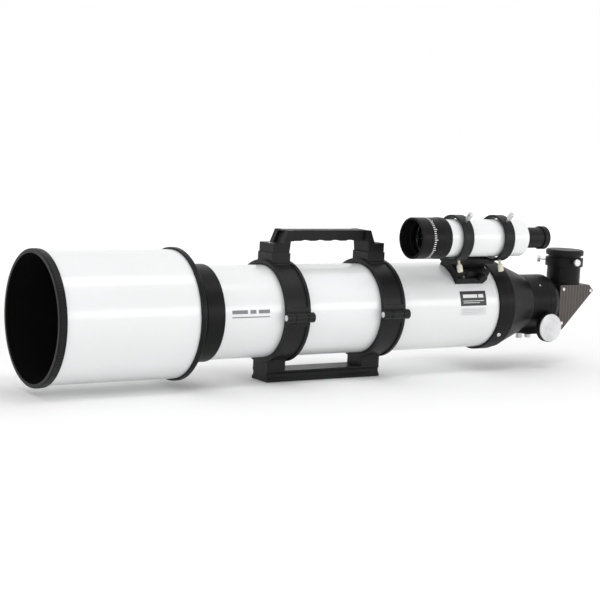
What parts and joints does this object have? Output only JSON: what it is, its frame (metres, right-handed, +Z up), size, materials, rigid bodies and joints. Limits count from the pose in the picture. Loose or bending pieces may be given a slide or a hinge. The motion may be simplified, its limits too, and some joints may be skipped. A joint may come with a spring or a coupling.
{
  "type": "refractor telescope",
  "caption": "White refractor optical tube in hinged cradle rings with a carry handle and dovetail bar, focuser, star diagonal and finder scope.",
  "frame": {"origin": "centre of the dovetail bar's bottom face, at the mouth of its threaded hole", "axes": "+X from the objective towards the eyepiece, +Z up, -Y on the side of the ring hinges and the finder scope"},
  "size_m": [1.0035, 0.2115, 0.2629],
  "materials": {
    "white_enamel": "gloss white enamel on aluminium",
    "black_anodised": "black anodised, satin",
    "black_cast": "black paint on cast aluminium, fine textured satin",
    "black_plastic": "satin",
    "felt": "matt felt",
    "bright_steel": "bright",
    "satin_aluminium": "satin",
    "ivory_plastic": "satin",
    "drawtube_finish": "black anodised, satin",
    "baffle_black": "dead matt black paint",
    "carbon_plate": "fine vertical weave",
    "coated_glass": "clear, green anti-reflection tint",
    "front_mirror": "first-surface mirror"
  },
  "bodies": {
    "cradle_base": {"dovetail_bar": "black_cast", "bar_bolts": "bright_steel", "ring_lower_front": "black_cast", "ring_lower_rear": "black_cast", "liners_lower": "felt", "hinge_pins": "bright_steel"},
    "cradle_top": {"ring_upper_front": "black_cast", "ring_upper_rear": "black_cast", "liners_upper": "felt", "carry_handle": "black_plastic", "handle_bolts": "bright_steel"},
    "clamp_front": {"clamp_knob_front": "black_plastic"},
    "clamp_rear": {"clamp_knob_rear": "black_plastic"},
    "optical_tube": {"main_tube": "white_enamel", "lens_cell": "black_anodised", "lens_retainer": "black_anodised", "objective_crown": "coated_glass", "objective_flint": "coated_glass", "tube_baffles": "baffle_black", "rear_cell": "black_anodised", "rear_cell_screws": "bright_steel", "focuser_adapter": "black_anodised", "focuser_body": "black_anodised", "finder_shoe": "black_cast", "finder_shoe_screws": "bright_steel"},
    "dew_shield": {"dew_shield_tube": "white_enamel", "dew_shield_front_ring": "black_anodised", "dew_shield_rear_ring": "black_anodised"},
    "drawtube": {"drawtube": "drawtube_finish"},
    "focus_drive": {"focus_shaft": "bright_steel", "focus_knobs": "satin_aluminium"},
    "roller_front_near": {"roller_front_near": "bright_steel"},
    "roller_front_far": {"roller_front_far": "bright_steel"},
    "roller_rear_near": {"roller_rear_near": "bright_steel"},
    "roller_rear_far": {"roller_rear_far": "bright_steel"},
    "lock_screw": {"lock_screw": "satin_aluminium"},
    "tension_screw": {"tension_screw": "satin_aluminium"},
    "drawtube_screw": {"drawtube_screw": "satin_aluminium"},
    "diagonal": {"diagonal_housing": "black_anodised", "diagonal_nosepiece": "black_anodised", "diagonal_side_plates": "carbon_plate", "diagonal_back_plate": "black_anodised", "diagonal_mirror": "front_mirror", "diagonal_plate_screws": "bright_steel", "eyepiece_holder": "black_anodised"},
    "eyepiece_screw_left": {"eyepiece_screw_left": "satin_aluminium"},
    "eyepiece_screw_right": {"eyepiece_screw_right": "satin_aluminium"},
    "dust_plug": {"dust_plug": "black_plastic"},
    "finder": {"finder_bracket": "black_cast", "finder_tube": "white_enamel", "finder_eyepiece": "black_plastic"},
    "finder_focus": {"finder_cell": "black_anodised", "finder_lens": "coated_glass"},
    "finder_shoe_screw": {"finder_shoe_screw": "black_plastic"},
    "aim_screw_front_top": {"aim_screw_front_top": "satin_aluminium"},
    "aim_screw_front_near": {"aim_screw_front_near": "ivory_plastic"},
    "aim_screw_front_far": {"aim_screw_front_far": "ivory_plastic"},
    "aim_screw_rear_top": {"aim_screw_rear_top": "satin_aluminium"},
    "aim_screw_rear_near": {"aim_screw_rear_near": "ivory_plastic"},
    "aim_screw_rear_far": {"aim_screw_rear_far": "ivory_plastic"}
  },
  "joints": [
    {"name": "cradle_open", "type": "hinge", "parent": "cradle_base", "child": "cradle_top", "pos_m": [0, -0.08, 0.105], "axis": [1, 0, 0], "range_deg": [0, 100]},
    {"name": "clamp_front_turn", "type": "hinge", "parent": "cradle_top", "child": "clamp_front", "pos_m": [-0.086, 0.0883, 0.115], "axis": [0, 0, 1], "range_deg": [0, 1440]},
    {"name": "clamp_rear_turn", "type": "hinge", "parent": "cradle_top", "child": "clamp_rear", "pos_m": [0.086, 0.0883, 0.115], "axis": [0, 0, 1], "range_deg": [0, 1440]},
    {"name": "tube_balance", "type": "slide", "parent": "cradle_base", "child": "optical_tube", "axis": [1, 0, 0], "range_m": [-0.09, 0.09]},
    {"name": "shield_off", "type": "slide", "parent": "optical_tube", "child": "dew_shield", "axis": [-1, 0, 0], "range_m": [0, 0.03]},
    {"name": "focus_travel", "type": "slide", "parent": "optical_tube", "child": "drawtube", "axis": [1, 0, 0], "range_m": [0, 0.07]},
    {"name": "focus_turn", "type": "hinge", "parent": "optical_tube", "child": "focus_drive", "pos_m": [0.4175, 0, 0.0697], "axis": [0, 1, 0], "range_deg": [0, 1005]},
    {"name": "roller_front_near_turn", "type": "hinge", "parent": "optical_tube", "child": "roller_front_near", "pos_m": [0.401, -0.02269, 0.13204], "axis": [0, 0.766, 0.6428], "range_deg": [-805, 0]},
    {"name": "roller_front_far_turn", "type": "hinge", "parent": "optical_tube", "child": "roller_front_far", "pos_m": [0.401, 0.02269, 0.13204], "axis": [0, 0.766, -0.6428], "range_deg": [-805, 0]},
    {"name": "roller_rear_near_turn", "type": "hinge", "parent": "optical_tube", "child": "roller_rear_near", "pos_m": [0.419, -0.02269, 0.13204], "axis": [0, 0.766, 0.6428], "range_deg": [-805, 0]},
    {"name": "roller_rear_far_turn", "type": "hinge", "parent": "optical_tube", "child": "roller_rear_far", "pos_m": [0.419, 0.02269, 0.13204], "axis": [0, 0.766, -0.6428], "range_deg": [-805, 0]},
    {"name": "lock_turn", "type": "hinge", "parent": "optical_tube", "child": "lock_screw", "pos_m": [0.4, 0, 0.055], "axis": [0, 0, -1], "range_deg": [-720, 360]},
    {"name": "tension_turn", "type": "hinge", "parent": "optical_tube", "child": "tension_screw", "pos_m": [0.419, 0, 0.055], "axis": [0, 0, -1], "range_deg": [-720, 360]},
    {"name": "drawtube_screw_turn", "type": "hinge", "parent": "drawtube", "child": "drawtube_screw", "pos_m": [0.4351, 0.045, 0.105], "axis": [0, 1, 0], "range_deg": [-720, 360]},
    {"name": "diagonal_turn", "type": "hinge", "parent": "drawtube", "child": "diagonal", "pos_m": [0.4895, 0, 0.105], "axis": [1, 0, 0], "continuous": true},
    {"name": "eyepiece_screw_left_turn", "type": "hinge", "parent": "diagonal", "child": "eyepiece_screw_left", "pos_m": [0.46349, 0.02342, 0.174], "axis": [-0.7431, 0.6691, 0], "range_deg": [-720, 360]},
    {"name": "eyepiece_screw_right_turn", "type": "hinge", "parent": "diagonal", "child": "eyepiece_screw_right", "pos_m": [0.48222, -0.03424, 0.174], "axis": [-0.2079, -0.9781, 0], "range_deg": [-720, 360]},
    {"name": "plug_out", "type": "slide", "parent": "diagonal", "child": "dust_plug", "axis": [0, 0, 1], "range_m": [0, 0.03]},
    {"name": "finder_slide", "type": "slide", "parent": "optical_tube", "child": "finder", "axis": [1, 0, 0], "range_m": [0, 0.05]},
    {"name": "finder_focus_travel", "type": "slide", "parent": "finder", "child": "finder_focus", "axis": [1, 0, 0], "range_m": [-0.004, 0.005]},
    {"name": "shoe_screw_turn", "type": "hinge", "parent": "optical_tube", "child": "finder_shoe_screw", "pos_m": [0.258, -0.06062, 0.16162], "axis": [0, -0.8387, -0.5446], "range_deg": [-720, 360]},
    {"name": "aim_front_top_turn", "type": "hinge", "parent": "finder", "child": "aim_screw_front_top", "pos_m": [0.195, -0.10086, 0.25009], "axis": [0, -0.6561, 0.7547], "range_deg": [-720, 360]},
    {"name": "aim_front_near_turn", "type": "hinge", "parent": "finder", "child": "aim_screw_front_near", "pos_m": [0.195, -0.08764, 0.18208], "axis": [0, -0.3256, -0.9455], "range_deg": [-720, 360]},
    {"name": "aim_front_far_turn", "type": "hinge", "parent": "finder", "child": "aim_screw_front_far", "pos_m": [0.195, -0.03535, 0.22753], "axis": [0, 0.9816, 0.1908], "range_deg": [-720, 360]},
    {"name": "aim_rear_top_turn", "type": "hinge", "parent": "finder", "child": "aim_screw_rear_top", "pos_m": [0.276, -0.10086, 0.25009], "axis": [0, -0.6561, 0.7547], "range_deg": [-720, 360]},
    {"name": "aim_rear_near_turn", "type": "hinge", "parent": "finder", "child": "aim_screw_rear_near", "pos_m": [0.276, -0.08764, 0.18208], "axis": [0, -0.3256, -0.9455], "range_deg": [-720, 360]},
    {"name": "aim_rear_far_turn", "type": "hinge", "parent": "finder", "child": "aim_screw_rear_far", "pos_m": [0.276, -0.03535, 0.22753], "axis": [0, 0.9816, 0.1908], "range_deg": [-720, 360]}
  ],
  "couplings": [
    {"joint": "focus_turn", "follows": "focus_travel", "rad_per_m": 250},
    {"joint": "roller_front_near_turn", "follows": "focus_travel", "rad_per_m": -200},
    {"joint": "roller_front_far_turn", "follows": "focus_travel", "rad_per_m": -200},
    {"joint": "roller_rear_near_turn", "follows": "focus_travel", "rad_per_m": -200},
    {"joint": "roller_rear_far_turn", "follows": "focus_travel", "rad_per_m": -200}
  ]
}
